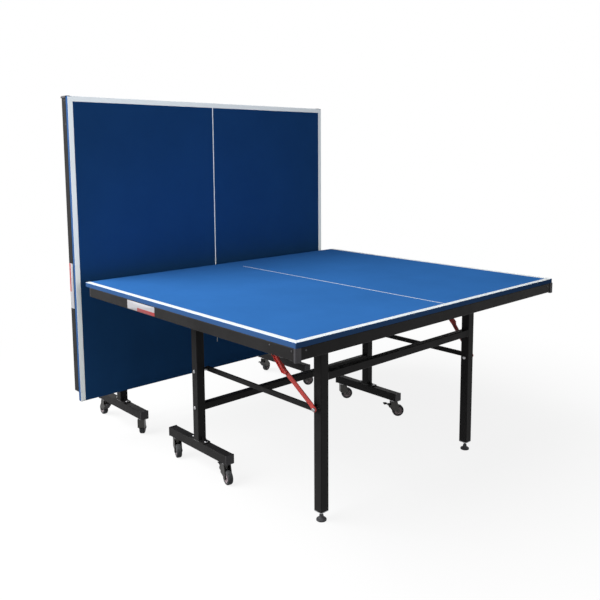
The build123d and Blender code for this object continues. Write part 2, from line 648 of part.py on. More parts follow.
def build_half(half):
    """All nodes of one half, placed at rest."""
    place = body_places(half)
    reach_wheel = WHEEL_LEG_Y - LEG_HALF
    reach_end = END_LEG_Y - LEG_HALF
    pieces = {
        "board": ("top", [board()]),
        "apron_rails": ("top", apron_rails()),
        "cross_rails": ("top", cross_rails()),
        "rail_caps": ("top", pair(corner_cap(), rail_plug())),
        "hinge_brackets": ("top", hinge_brackets()),
        "hinge_pins": ("top", hinge_pins()),
        "wheel_legs": ("stand", pair(wheel_leg(), leg_base())),
        "wheel_feet": ("stand", pair(wheel_foot())),
        "wheel_stretcher": ("stand", [stretcher(WHEEL_LEG_X, reach_wheel, WHEEL_STRETCHER_HEIGHT, True)]),
        "foot_end_caps": ("stand", pair(foot_cap(-1), foot_cap(1))),
        "stand_hardware": ("stand", stand_hardware()),
        "end_legs": ("legs", pair(end_leg())),
        "end_stretcher": ("legs", [stretcher(END_LEG_X, reach_end, END_STRETCHER_HEIGHT, False)]),
        "end_leg_hardware": ("legs", end_leg_hardware()),
        "link_bars": ("links", pair(link_bar())),
        "upper_stays": ("upper", pair(upper_stay())),
        "lower_stays": ("lower", pair(lower_stay())),
    }
    nodes = {name: [place[body] * solid for solid in solids] for name, (body, solids) in pieces.items()}
    facing = 1.0 if half == "play" else -1.0
    for side, sign in (("left", -facing), ("right", facing)):
        foot = levelling_foot() if sign > 0 else mirror(levelling_foot(), about=Plane.XZ)
        nodes["levelling_foot_" + side] = [place["legs"] * foot]
        for edge, (x, y) in zip(("net", "end"), caster_positions()):
            spot = edge + "_" + side
            brake = edge == "end"
            heading = CASTER_HEADING[half][spot] - (0.0 if half == "play" else 180.0)
            stem = place["stand"] * Pos(x, sign * y, 0) * Rot(0, 0, heading)
            nodes["caster_fork_" + spot] = [stem * solid for solid in caster_fork(brake)]
            nodes["caster_wheel_" + spot] = [stem * solid for solid in caster_wheel()]
            if brake:
                nodes["brake_pedal_" + spot] = [stem * solid for solid in brake_pedal()]
    return {half + "_" + name: solids for name, solids in nodes.items()}


nodes = build_half("play")
nodes.update(build_half("fold"))

# The origin lies on the floor under the middle of the whole outline
boxes = [solid.bounding_box() for solids in nodes.values() for solid in solids]
middle_x = (min(box.min.X for box in boxes) + max(box.max.X for box in boxes)) / 2
shift = Pos(-middle_x, 0, 0)

for name, solids in nodes.items():
    placed = [shift * solid for solid in solids]
    shape = placed[0] if len(placed) == 1 else Compound(label=name, children=placed)
    export_step(shape, os.path.join("parts", name + ".step"))
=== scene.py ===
import json
from math import cos, pi, radians, sin

import bmesh
import bpy
import numpy as np
from mathutils import Matrix, Vector


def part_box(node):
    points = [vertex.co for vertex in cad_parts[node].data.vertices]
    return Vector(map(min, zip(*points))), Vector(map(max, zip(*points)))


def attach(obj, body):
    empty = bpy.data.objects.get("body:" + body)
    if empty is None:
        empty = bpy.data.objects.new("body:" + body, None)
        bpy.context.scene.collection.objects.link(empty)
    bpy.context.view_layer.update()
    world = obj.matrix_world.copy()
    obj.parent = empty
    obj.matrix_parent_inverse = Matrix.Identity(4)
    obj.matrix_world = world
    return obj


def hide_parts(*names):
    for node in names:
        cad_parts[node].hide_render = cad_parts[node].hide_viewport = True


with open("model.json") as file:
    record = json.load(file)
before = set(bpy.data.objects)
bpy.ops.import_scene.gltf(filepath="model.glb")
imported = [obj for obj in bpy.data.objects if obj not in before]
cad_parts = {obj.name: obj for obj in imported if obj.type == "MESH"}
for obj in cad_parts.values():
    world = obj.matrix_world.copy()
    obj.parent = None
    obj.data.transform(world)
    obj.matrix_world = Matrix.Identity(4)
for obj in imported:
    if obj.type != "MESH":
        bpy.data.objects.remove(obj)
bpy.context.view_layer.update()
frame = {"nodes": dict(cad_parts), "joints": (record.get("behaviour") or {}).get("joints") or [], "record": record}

bl_info = {
    "name": "Folding table tennis table",
    "version": (1, 0, 0),
    "blender": (4, 5, 0),
    "location": "View3D > Sidebar > Table tennis",
    "description": "Court lines, trim, hardware detail and finishes for a folding table tennis table",
    "category": "Object",
}

HALVES = ("play", "fold")
SIDES = ("left", "right")
SPOTS = ("net_left", "net_right", "end_left", "end_right")

# Sizes shared with the metalwork, metres
BOARD_CORNER = 0.004
BOARD_EDGE = 0.0015
SEALER_DEPTH = 0.0002
RAIL_HEIGHT = 0.040
LEG_SIZE = 0.038
BASE_PLATE = 0.004
WHEEL_HALF_WIDTH = 0.012
WHEEL_DISH = 0.0025
DISH_RADIUS = 0.020
HUB_RADIUS = 0.008
PAD_RADIUS = 0.019
PAD_HEIGHT = 0.0215
STUD_RADIUS = 0.005
LEG_END_HEIGHT = 0.036

# How much paler the rail caps are than other plastic, and how dark blackened steel is beside zinc
CAP_FADE = 2.2
BLACKENING = 0.25

# Label: corner, thickness, and where its block of colour starts and ends as shares of the label
LABEL_CORNER = 0.003
LABEL_THICKNESS = 0.0004
BLOCK_START = 0.37
BLOCK_RISE = 0.40

# Rail screws: places along the side rails from the net edge, inset on the end rail, drop below the board
SIDE_SCREWS = (1.249, 1.351)
END_SCREW_INSET = 0.040
SCREW_DROP = 0.011
# Radius and height along a screw's dished head, in screw radii
SCREW_HEAD = (
    (0.0, -0.6), (1.0, -0.6), (1.0, 0.08), (0.9, 0.26), (0.66, 0.4), (0.42, 0.45), (0.36, 0.16), (0.0, 0.12)
)

# Weld beads: corner of the path, share and count of the ripples
BEAD_CORNER = 0.003
BEAD_RIPPLE = 0.14
BEAD_RIPPLES = 40

# Hub discs: ribs, their half width and height, and the disc's face and back from the dish
HUB_RIBS = 6
RIB_HALF_WIDTH = 0.0014
RIB_HEIGHT = 0.0012
DISC_FACE = 0.0006
DISC_BACK = 0.0004

# Levelling feet: wall round the stud, waist and foot of the flare, start and depth of the thread
NECK_WALL = 0.0025
WAIST_INSET = 0.002
FLARE_FOOT = 0.007
STUD_BOTTOM = 0.020
THREAD_DEPTH = 0.0007

# Lock nuts: half the distance over the flats, height and the gap to the leg
NUT_APOTHEM = 0.0085
NUT_HEIGHT = 0.006
NUT_GAP = 0.0002
# Outer limit in apothems and level in nut heights, from the lower bore round to the upper bore
NUT_STEPS = (
    (0.60, 0.0), (0.98, 0.0), (1.06, 0.12), (1.16, 0.28), (1.16, 0.72), (1.06, 0.88), (0.98, 1.0), (0.60, 1.0)
)

# Stage: half the floor's side, where the shown shadow fades, and each lamp's side, place and aim
FLOOR_REACH = 30.0
SHADOW_FADE = (0.9, 2.6)
TABLE_MIDDLE = (0.1, 0.0, 0.6)
END_MIDDLE = (0.9, -0.2, 0.6)
OVERHEAD_LAMP = (5.76, (-1.82, -3.84, 4.44), TABLE_MIDDLE)
FRONT_LAMP = (1.2, (2.6, -0.4, 1.0), END_MIDDLE)
LINE_LAMP = (1.5, (2.4, -1.2, 1.7), TABLE_MIDDLE)

# Where the camera stood in the table's frame, how it was turned in radians, and its picture in pixels
CAMERA_PLACE = (2.39279, -2.12295, 1.32153)
CAMERA_AZIMUTH = 0.819863
CAMERA_ELEVATION = 0.122622
CAMERA_ROLL = -0.004464
CAMERA_SENSOR = 36.0
PICTURE_SIDE = 600.0
FOCAL_PIXELS = 706.535
OPTICAL_AXIS_PIXEL = (307.895, 238.623)


def box(node):
    """Lowest and highest corner of a node as arrays."""
    low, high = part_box(node)
    return np.array(low), np.array(high)


def board_axes(half):
    """Middle of the net edge on the playing face, and the axes along, across and out of that face."""
    low, high = box(half + "_board")
    if half == "play":
        return np.array([low[0], 0.0, high[2]]), np.eye(3)
    upright = np.array([[0.0, 0.0, 1.0], [0.0, -1.0, 0.0], [1.0, 0.0, 0.0]])
    return np.array([high[0], 0.0, low[2]]), upright


def board_size():
    """Length from net edge to end line, width and thickness of one board."""
    low, high = box("play_board")
    return high - low


def placed(points, origins, axes):
    """Copies of a local grid: each point is its origin plus its three coordinates along that copy's axes."""
    origins = np.atleast_2d(origins)
    axes = np.broadcast_to(axes, (len(origins), 3, 3))
    return origins[:, None, None, :] + np.einsum("rci,kij->krcj", points, axes)


def revolved(profile, columns):
    """Surface of revolution: radius and height along a profile, turned once round the third axis."""
    angle = np.linspace(0.0, 2 * pi, columns, endpoint=False)
    radius = np.array([point[0] for point in profile])[:, None]
    height = np.array([point[1] for point in profile])[:, None]
    spread = np.ones_like(angle)[None, :]
    return np.stack([radius * np.cos(angle), radius * np.sin(angle), height * spread], axis=-1)


def slab_rings(top, bottom):
    """Thin closed slab: top and bottom grid as one ring for each row, shut by a flat row at each end."""
    rings = np.concatenate([top, bottom[:, ::-1]], axis=1)
    shut = np.concatenate([bottom, bottom[:, ::-1]], axis=1)
    return np.concatenate([shut[:1], rings, shut[-1:]], axis=0)


def rounded_outline(half_width, half_height, corner, steps):
    """Rounded rectangle as four quarter circles joined by straight sides, anticlockwise."""
    quarter = np.linspace(0.0, pi / 2, steps)
    turn = (quarter[None, :] + np.arange(4)[:, None] * pi / 2).ravel()
    signs = np.array([[1, 1], [-1, 1], [-1, -1], [1, -1]]).repeat(steps, axis=0)
    middle = signs * np.array([half_width - corner, half_height - corner])
    return middle + corner * np.stack([np.cos(turn), np.sin(turn)], axis=-1)


def lay_mesh(name, points, body, material, shut_rows=False, crease=35.0):
    """Object from copies of a grid whose columns close on themselves; with shut_rows its rows close too."""
    copies, rows, columns = points.shape[:3]
    index = np.arange(rows * columns).reshape(rows, columns)
    near, far = (index, np.roll(index, -1, 0)) if shut_rows else (index[:-1], index[1:])
    quads = np.stack([near, np.roll(near, -1, 1), np.roll(far, -1, 1), far], axis=-1).reshape(-1, 4)
    faces = (quads[None] + np.arange(copies)[:, None, None] * rows * columns).reshape(-1, 4)
    mesh = bpy.data.meshes.new(name)
    mesh.from_pydata(points.reshape(-1, 3), [], faces.tolist())
    shell = bmesh.new()
    shell.from_mesh(mesh)
    bmesh.ops.remove_doubles(shell, verts=shell.verts, dist=1e-6)
    bmesh.ops.recalc_face_normals(shell, faces=shell.faces)
    shell.to_mesh(mesh)
    shell.free()
    mesh.polygons.foreach_set("use_smooth", np.ones(len(mesh.polygons), bool))
    mesh.set_sharp_from_angle(angle=radians(crease))
    mesh.materials.append(material)
    piece = bpy.data.objects.new(name, mesh)
    bpy.context.scene.collection.objects.link(piece)
    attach(piece, body)
    return piece


class Finish:
    """One material: a shader with its constant values and the few nodes that vary them."""

    def __init__(self, name, roughness, metallic=0.0, specular=0.5):
        self.material = bpy.data.materials.new(name)
        self.material.use_nodes = True
        self.tree = self.material.node_tree
        self.shader = self.tree.nodes["Principled BSDF"]
        self.shader.inputs["Roughness"].default_value = roughness
        self.shader.inputs["Metallic"].default_value = metallic
        self.shader.inputs["Specular IOR Level"].default_value = specular

    def add(self, kind, **settings):
        """New node with its settings."""
        node = self.tree.nodes.new(kind)
        for key, value in settings.items():
            setattr(node, key, value)
        return node

    def join(self, source, target):
        """Link from an output socket to an input socket."""
        self.tree.links.new(source, target)

    def place(self, location=(0, 0, 0), rotation=(0, 0, 0), scale=(1, 1, 1)):
        """Object coordinates, centred, turned and stretched by a Mapping node."""
        coordinate = self.add("ShaderNodeTexCoord")
        mapping = self.add("ShaderNodeMapping")
        mapping.inputs["Location"].default_value = location
        mapping.inputs["Rotation"].default_value = rotation
        mapping.inputs["Scale"].default_value = scale
        self.join(coordinate.outputs["Object"], mapping.inputs["Vector"])
        return mapping.outputs["Vector"]

    def noise(self, vector, scale, detail=4.0, roughness=0.55):
        """Cloudy pattern from 0 to 1."""
        node = self.add("ShaderNodeTexNoise")
        node.inputs["Scale"].default_value = scale
        node.inputs["Detail"].default_value = detail
        node.inputs["Roughness"].default_value = roughness
        self.join(vector, node.inputs["Vector"])
        return node.outputs["Fac"]

    def ramp(self, factor, stops):
        """Colour from a factor: stops are pairs of position and colour."""
        node = self.add("ShaderNodeValToRGB")
        band = node.color_ramp
        for step, (position, colour) in enumerate(stops):
            stop = band.elements[step] if step < 2 else band.elements.new(position)
            stop.position = position
            stop.color = (*colour, 1.0)
        self.join(factor, node.inputs["Fac"])
        return node.outputs["Color"]

    def spread(self, factor, low, high):
        """Number between low and high, following a factor."""
        node = self.add("ShaderNodeMapRange")
        node.inputs["To Min"].default_value = low
        node.inputs["To Max"].default_value = high
        self.join(factor, node.inputs["Value"])
        return node.outputs["Result"]

    def test(self, value, threshold, operation="GREATER_THAN"):
        """1 where a value passes a threshold, else 0."""
        node = self.add("ShaderNodeMath", operation=operation)
        self.join(value, node.inputs[0])
        node.inputs[1].default_value = threshold
        return node.outputs["Value"]

    def both(self, first, second):
        """Product of two masks."""
        node = self.add("ShaderNodeMath", operation="MULTIPLY")
        self.join(first, node.inputs[0])
        self.join(second, node.inputs[1])
        return node.outputs["Value"]

    def over(self, mask, under, top):
        """Colour under, with colour top laid on where the mask is 1."""
        node = self.add("ShaderNodeMix", data_type="RGBA")
        self.join(mask, node.inputs["Factor"])
        for name, colour in (("A", under), ("B", top)):
            socket = [item for item in node.inputs if item.name == name and item.type == "RGBA"][0]
            if isinstance(colour, tuple):
                socket.default_value = (*colour, 1.0)
            else:
                self.join(colour, socket)
        return [item for item in node.outputs if item.type == "RGBA"][0]

    def parts(self, vector):
        """Three coordinates of a vector."""
        node = self.add("ShaderNodeSeparateXYZ")
        self.join(vector, node.inputs["Vector"])
        return node.outputs["X"], node.outputs["Y"], node.outputs["Z"]

    def colour(self, socket):
        """Base colour from a socket."""
        self.join(socket, self.shader.inputs["Base Color"])

    def gloss(self, socket):
        """Roughness from a socket."""
        self.join(socket, self.shader.inputs["Roughness"])

    def relief(self, factor, depth):
        """Bump of a given depth in metres."""
        node = self.add("ShaderNodeBump")
        node.inputs["Strength"].default_value = 1.0
        node.inputs["Distance"].default_value = depth
        self.join(factor, node.inputs["Height"])
        self.join(node.outputs["Normal"], self.shader.inputs["Normal"])


def shade(colour, factor):
    """Colour made lighter or darker by a factor."""
    return tuple(min(1.0, channel * factor) for channel in colour)


def coated_metal(name, colour, roughness, specular, grain=900.0, mottle=0.25):
    """Powder coat: small dimples, and a faint mottling of its colour and gloss."""
    finish = Finish(name, roughness, specular=specular)
    vector = finish.place()
    cloud = finish.noise(vector, scale=9.0, detail=6.0, roughness=0.6)
    finish.colour(finish.ramp(cloud, [(0.3, shade(colour, 1 - mottle)), (0.72, shade(colour, 1 + mottle))]))
    wear = finish.noise(vector, scale=35.0)
    finish.gloss(finish.spread(wear, roughness - 0.08, roughness + 0.10))
    finish.relief(finish.noise(vector, grain, detail=2.0), depth=0.00006)
    return finish.material


def plated_metal(name, colour, roughness):
    """Zinc plating: fine drawn streaks and a patchy passivation."""
    finish = Finish(name, roughness, metallic=1.0)
    vector = finish.place()
    patch = finish.noise(vector, scale=140.0, detail=5.0)
    finish.colour(finish.ramp(patch, [(0.25, shade(colour, 0.78)), (0.75, shade(colour, 1.15))]))
    streak = finish.noise(finish.place(scale=(1.0, 9.0, 1.0)), scale=420.0, detail=3.0)
    finish.gloss(finish.spread(streak, roughness - 0.07, roughness + 0.12))
    finish.relief(streak, depth=0.00002)
    return finish.material


def moulded_plastic(name, colour, roughness, specular=0.4):
    """Moulded plastic with a fine eroded grain."""
    finish = Finish(name, roughness, specular=specular)
    vector = finish.place()
    cloud = finish.noise(vector, scale=26.0, detail=5.0)
    finish.colour(finish.ramp(cloud, [(0.3, shade(colour, 0.85)), (0.7, shade(colour, 1.18))]))
    wear = finish.noise(vector, scale=300.0, detail=2.0)
    finish.gloss(finish.spread(wear, roughness - 0.08, roughness + 0.08))
    finish.relief(finish.noise(vector, scale=1600.0, detail=2.0), depth=0.00005)
    return finish.material


def tyre_rubber(name, colour):
    """Grey rubber with scuffs and dust ground into it."""
    finish = Finish(name, roughness=0.75, specular=0.3)
    vector = finish.place()
    scuff = finish.noise(vector, scale=160.0, detail=8.0, roughness=0.7)
    dusty = [(0.35, shade(colour, 0.75)), (0.62, colour), (0.78, shade(colour, 1.5))]
    finish.colour(finish.ramp(scuff, dusty))
    finish.gloss(finish.spread(scuff, low=0.65, high=0.9))
    finish.relief(finish.noise(vector, scale=700.0, detail=4.0), depth=0.00012)
    return finish.material


def playing_paint(half, colour, edging, backing, roughness, specular):
    """Matt paint of a board: even on the face, with a darker band round the edge and a sealed dark back.

    Depth is measured from the playing face: the band starts below its rounded rim, the sealer at the back.
    """
    finish = Finish(half + "_playing_paint", roughness, specular=specular)
    origin, axes = board_axes(half)
    depth_axis = "XYZ"[int(np.argmax(np.abs(axes[2])))]
    vector = finish.place(location=tuple(-origin))
    coordinates = dict(zip("XYZ", finish.parts(vector)))
    back = finish.test(coordinates[depth_axis], -board_size()[2] + SEALER_DEPTH, "LESS_THAN")
    cloud = finish.noise(vector, scale=2.2, detail=7.0, roughness=0.62)
    paint = finish.ramp(cloud, [(0.3, shade(colour, 0.93)), (0.7, shade(colour, 1.07))])
    band = finish.test(coordinates[depth_axis], -BOARD_EDGE, "LESS_THAN")
    finish.colour(finish.over(back, finish.over(band, paint, edging), backing))
    wear = finish.noise(vector, scale=14.0, detail=6.0)
    finish.gloss(finish.spread(wear, roughness - 0.05, roughness + 0.06))
    finish.relief(finish.noise(vector, scale=1100.0, detail=2.0), depth=0.00004)
    return finish.material


def line_paint(name, colour):
    """White line paint with a faint roller texture."""
    finish = Finish(name, roughness=0.5, specular=0.3)
    vector = finish.place()
    cloud = finish.noise(vector, scale=18.0, detail=5.0)
    finish.colour(finish.ramp(cloud, [(0.3, shade(colour, 0.965)), (0.7, colour)]))
    finish.relief(finish.noise(vector, scale=900.0, detail=2.0), depth=0.00003)
    return finish.material


def label_print(name, field, block, split, rise):
    """Blank two-colour label: a pale field with a block of colour along part of its lower edge."""
    finish = Finish(name, roughness=0.35)
    node = finish.add("ShaderNodeUVMap", uv_map="label")
    across, up, _ = finish.parts(node.outputs["UV"])
    mask = finish.both(finish.test(across, split), finish.test(up, rise, "LESS_THAN"))
    soil = finish.noise(finish.place(), scale=60.0, detail=5.0)
    paper = finish.ramp(soil, [(0.3, shade(field, 0.93)), (0.65, field)])
    ink = finish.ramp(soil, [(0.3, shade(block, 0.88)), (0.65, block)])
    finish.colour(finish.over(mask, paper, ink))
    finish.relief(soil, depth=0.00003)
    return finish.material


class CourtSettings(bpy.types.PropertyGroup):
    """Painted court lines."""

    line_width: bpy.props.FloatProperty(
        name="Border line", description="Width of the side and end lines", default=0.0225, unit="LENGTH"
    )
    centre_width: bpy.props.FloatProperty(
        name="Centre line", description="Width of the line down the middle", default=0.0046, unit="LENGTH"
    )
    centre_start: bpy.props.FloatProperty(
        name="Centre line start",
        description="Bare board between the net edge and the line",
        default=0.137,
        unit="LENGTH",
    )
    thickness: bpy.props.FloatProperty(
        name="Paint thickness",
        description="Height of the lines above the board",
        default=0.00012,
        unit="LENGTH",
    )
    colour: bpy.props.FloatVectorProperty(
        name="Line colour", description="Paint of the lines", default=(0.81, 0.86, 0.88), subtype="COLOR"
    )


class FinishSettings(bpy.types.PropertyGroup):
    """Colours of boards, metalwork and plastic."""

    board: bpy.props.FloatVectorProperty(
        name="Board", description="Playing paint", default=(0.034, 0.153, 0.44), subtype="COLOR"
    )
    edging: bpy.props.FloatVectorProperty(
        name="Board edge",
        description="Band round the board's edge",
        default=(0.048, 0.118, 0.29),
        subtype="COLOR",
    )
    backing: bpy.props.FloatVectorProperty(
        name="Board back",
        description="Sealer under the board",
        default=(0.022, 0.026, 0.034),
        subtype="COLOR",
    )
    frame_coat: bpy.props.FloatVectorProperty(
        name="Frame",
        description="Powder coat of the tubes",
        default=(0.0172, 0.0165, 0.0169),
        subtype="COLOR",
    )
    stay: bpy.props.FloatVectorProperty(
        name="Stays",
        description="Powder coat of the folding stays",
        default=(0.88, 0.104, 0.090),
        subtype="COLOR",
    )
    plastic: bpy.props.FloatVectorProperty(
        name="Plastic", description="Caps, pads and pedals", default=(0.028, 0.027, 0.030), subtype="COLOR"
    )
    zinc: bpy.props.FloatVectorProperty(
        name="Zinc", description="Bolts and screws", default=(0.34, 0.34, 0.35), subtype="COLOR"
    )
    fork: bpy.props.FloatVectorProperty(
        name="Forks", description="Plated caster forks", default=(0.050, 0.049, 0.047), subtype="COLOR"
    )
    tyre: bpy.props.FloatVectorProperty(
        name="Tyres",
        description="Rubber of the caster wheels",
        default=(0.072, 0.076, 0.079),
        subtype="COLOR",
    )
    hub: bpy.props.FloatVectorProperty(
        name="Hubs", description="Plastic in the caster wheels", default=(0.36, 0.29, 0.31), subtype="COLOR"
    )
    label: bpy.props.FloatVectorProperty(
        name="Label", description="Field of the blank label", default=(0.48, 0.475, 0.50), subtype="COLOR"
    )
    label_block: bpy.props.FloatVectorProperty(
        name="Label block",
        description="Block of colour on the label",
        default=(0.42, 0.030, 0.034),
        subtype="COLOR",
    )


class TrimSettings(bpy.types.PropertyGroup):
    """Labels, screws, welds and threads."""

    label_length: bpy.props.FloatProperty(
        name="Label length", description="Length of a label along the rail", default=0.205, unit="LENGTH"
    )
    label_height: bpy.props.FloatProperty(
        name="Label height", description="Height of a label on the rail", default=0.035, unit="LENGTH"
    )
    label_play: bpy.props.FloatProperty(
        name="Label on the open half",
        description="From the net edge to its middle",
        default=0.471,
        unit="LENGTH",
    )
    label_fold: bpy.props.FloatProperty(
        name="Label on the folded half",
        description="From the net edge to its middle",
        default=0.531,
        unit="LENGTH",
    )
    screw_radius: bpy.props.FloatProperty(
        name="Screw radius", description="Radius of the rail screws' heads", default=0.0030, unit="LENGTH"
    )
    bead_radius: bpy.props.FloatProperty(
        name="Weld radius", description="Radius of the weld beads", default=0.0022, unit="LENGTH"
    )
    thread_pitch: bpy.props.FloatProperty(
        name="Thread pitch", description="Pitch of the levelling studs", default=0.0018, unit="LENGTH"
    )


class StageSettings(bpy.types.PropertyGroup):
    """Light, floor and background."""

    lamp_power: bpy.props.FloatProperty(
        name="Overhead lamp",
        description="Power of the soft lamp over the near side",
        default=650.0,
        unit="POWER",
    )
    front_power: bpy.props.FloatProperty(
        name="Front lamp",
        description="Power of the weak soft lamp in front of the end line",
        default=6.5,
        unit="POWER",
    )
    fill_power: bpy.props.FloatProperty(
        name="Line fill",
        description="Power of the lamp that lights the folded half's lines",
        default=67.0,
        unit="POWER",
    )
    sky: bpy.props.FloatProperty(
        name="Sky", description="Level of the even light from all round", default=0.06, min=0.0
    )
    floor_bounce: bpy.props.FloatVectorProperty(
        name="Floor",
        description="What the floor gives back to the object",
        default=(0.10, 0.10, 0.10),
        subtype="COLOR",
    )
    shadow_share: bpy.props.FloatProperty(
        name="Shadow",
        description="How much of the object's shadow the pale floor shows",
        default=0.13,
        subtype="FACTOR",
    )


def on_board(along, across, lift):
    """Points of a paint film in board coordinates.

    A point is pulled inside the board's rounded outline. Its height falls with the quarter circle of the
    rounded edge, and the film is lifted along the surface's own direction.
    """
    length, width, _ = board_size()
    half = np.array([length / 2, width / 2])
    point = np.stack([along - length / 2, across], axis=-1)
    sign = np.where(point < 0, -1.0, 1.0)
    past = np.abs(point) - (half - BOARD_CORNER)
    beyond = np.maximum(past, 0.0)
    reach = np.linalg.norm(beyond, axis=-1, keepdims=True)
    nearest = (past == past.max(axis=-1, keepdims=True)).astype(float)
    outward = np.where(reach > 0, beyond / np.maximum(reach, 1e-9), nearest)
    inside = BOARD_CORNER - np.where(reach > 0, reach, past.max(axis=-1, keepdims=True))
    point = point + sign * outward * np.minimum(inside, 0.0)
    inside = np.clip(inside, 0.0, BOARD_EDGE)
    lean = (BOARD_EDGE - inside) / BOARD_EDGE
    rise = np.sqrt(np.maximum(1.0 - lean ** 2, 0.0))
    point = point + sign * outward * lean * lift
    height = (rise - 1.0) * BOARD_EDGE + rise * lift
    return np.concatenate([point[..., :1] + length / 2, point[..., 1:], height], axis=-1)


def line_film(along, across, thickness):
    """Closed film of paint over the grid of two sets of places, along and across the board."""
    u, v = np.meshgrid(along, across, indexing="ij")
    return slab_rings(on_board(u, v, thickness), on_board(u, v, -thickness))


class TABLE_OT_court_lines(bpy.types.Operator):
    """Paint the side, end and centre lines on both boards"""

    bl_idname = "table_tennis.court_lines"
    bl_label = "Court lines"

    def execute(self, context):
        settings = context.scene.table_court
        film, wide = settings.thickness, settings.line_width
        length, width, _ = board_size()
        paint = line_paint("line_paint", tuple(settings.colour))
        rim = 0.25 * BOARD_EDGE
        edge = np.array([rim, 0.5 * BOARD_EDGE, 0.75 * BOARD_EDGE, BOARD_EDGE, wide])
        corner = BOARD_CORNER * (1 - np.cos(np.linspace(0, pi / 2, 7)))
        straight = np.linspace(wide, length - wide, 12)
        run = np.concatenate([rim + corner, straight, length - rim - corner[::-1]])
        middle = np.linspace(-width / 2 + wide, width / 2 - wide, 12)
        centre = np.linspace(settings.centre_start, length - wide, 12)
        stripe = settings.centre_width / 2
        films = {
            "side_line_left": (run, edge - width / 2),
            "side_line_right": (run, width / 2 - edge[::-1]),
            "end_line": (length - edge[::-1], middle),
            "centre_line": (centre, np.array([-stripe, stripe])),
        }
        for half in HALVES:
            origin, axes = board_axes(half)
            for name, (along, across) in films.items():
                grid = placed(line_film(along, across, film), origin, axes)
                lay_mesh(f"{half}_{name}", grid, half + "_top", paint)
        return {"FINISHED"}


class TABLE_OT_side_labels(bpy.types.Operator):
    """Stick a blank label on the near side rail of each half"""

    bl_idname = "table_tennis.side_labels"
    bl_label = "Side labels"

    def execute(self, context):
        trim, colours = context.scene.table_trim, context.scene.table_finish
        field, block = tuple(colours.label), tuple(colours.label_block)
        print_material = label_print("label_print", field, block, BLOCK_START, BLOCK_RISE)
        size = np.array([trim.label_length, trim.label_height])
        for half, middle in (("play", trim.label_play), ("fold", trim.label_fold)):
            origin, axes = board_axes(half)
            near = -1.0 if half == "play" else 1.0
            rail = box(half + "_apron_rails")[0][1]
            drop = -board_size()[2] - RAIL_HEIGHT / 2
            centre = origin + middle * axes[0] + drop * axes[2]
            centre[1] = rail
            frame_axes = np.stack([axes[0], axes[2], near * axes[1]])
            grid = placed(self.plate(size / 2, LABEL_CORNER, LABEL_THICKNESS), centre, frame_axes)
            piece = lay_mesh(half + "_side_label", grid, half + "_top", print_material)
            self.spread_print(piece.data, centre, frame_axes, size)
        return {"FINISHED"}

    def plate(self, half, corner, thickness):
        """Rounded plate: outline at back and front and set in a little, shut by a point on each side."""
        back = ((0.0, -thickness), (1.0, -thickness))
        front = ((1.0, 0.6 * thickness), (0.992, thickness), (0.0, thickness))
        outline = rounded_outline(half[0], half[1], corner, 6)
        level = np.ones(len(outline))
        rows = [np.column_stack([outline * scale, height * level]) for scale, height in back + front]
        return np.stack(rows)

    def spread_print(self, mesh, centre, axes, size):
        """Map from 0 to 1 across and up the label, from each corner's place on it."""
        corners = np.empty(len(mesh.loops), np.int32)
        mesh.loops.foreach_get("vertex_index", corners)
        places = np.empty(len(mesh.vertices) * 3, np.float32)
        mesh.vertices.foreach_get("co", places)
        local = (places.reshape(-1, 3)[corners] - centre) @ axes.T
        layer = mesh.uv_layers.new(name="label")
        layer.data.foreach_set("uv", (local[:, :2] / size + 0.5).astype(np.float32).ravel())


class TABLE_OT_rail_screws(bpy.types.Operator):
    """Drive the screws that hold the rails to the board and to their end caps"""

    bl_idname = "table_tennis.rail_screws"
    bl_label = "Rail screws"

    def execute(self, context):
        radius = context.scene.table_trim.screw_radius
        steel = bpy.data.materials["screw_steel"]
        length, width, thickness = board_size()
        head = revolved([(r * radius, h * radius) for r, h in SCREW_HEAD], 24)
        level = -thickness - SCREW_DROP
        for half in HALVES:
            origin, axes = board_axes(half)
            low, high = box(half + "_apron_rails")
            side = high[1]
            corners = (np.vstack([low, high]) - origin) @ axes.T
            end = corners[:, 0].max()
            places, frames = [], []
            for sign in (-1.0, 1.0):
                for along in SIDE_SCREWS:
                    places.append((along, sign * side, level))
                    frames.append(((sign, 0.0, 0.0), (0.0, 0.0, -1.0), (0.0, sign, 0.0)))
                places.append((end, sign * (width / 2 - END_SCREW_INSET), level))
                frames.append(((0.0, 1.0, 0.0), (0.0, 0.0, 1.0), (1.0, 0.0, 0.0)))
            origins = origin + np.array(places) @ axes
            grid = placed(head, origins, np.array(frames) @ axes)
            lay_mesh(half + "_rail_screws", grid, half + "_top", steel)
        return {"FINISHED"}


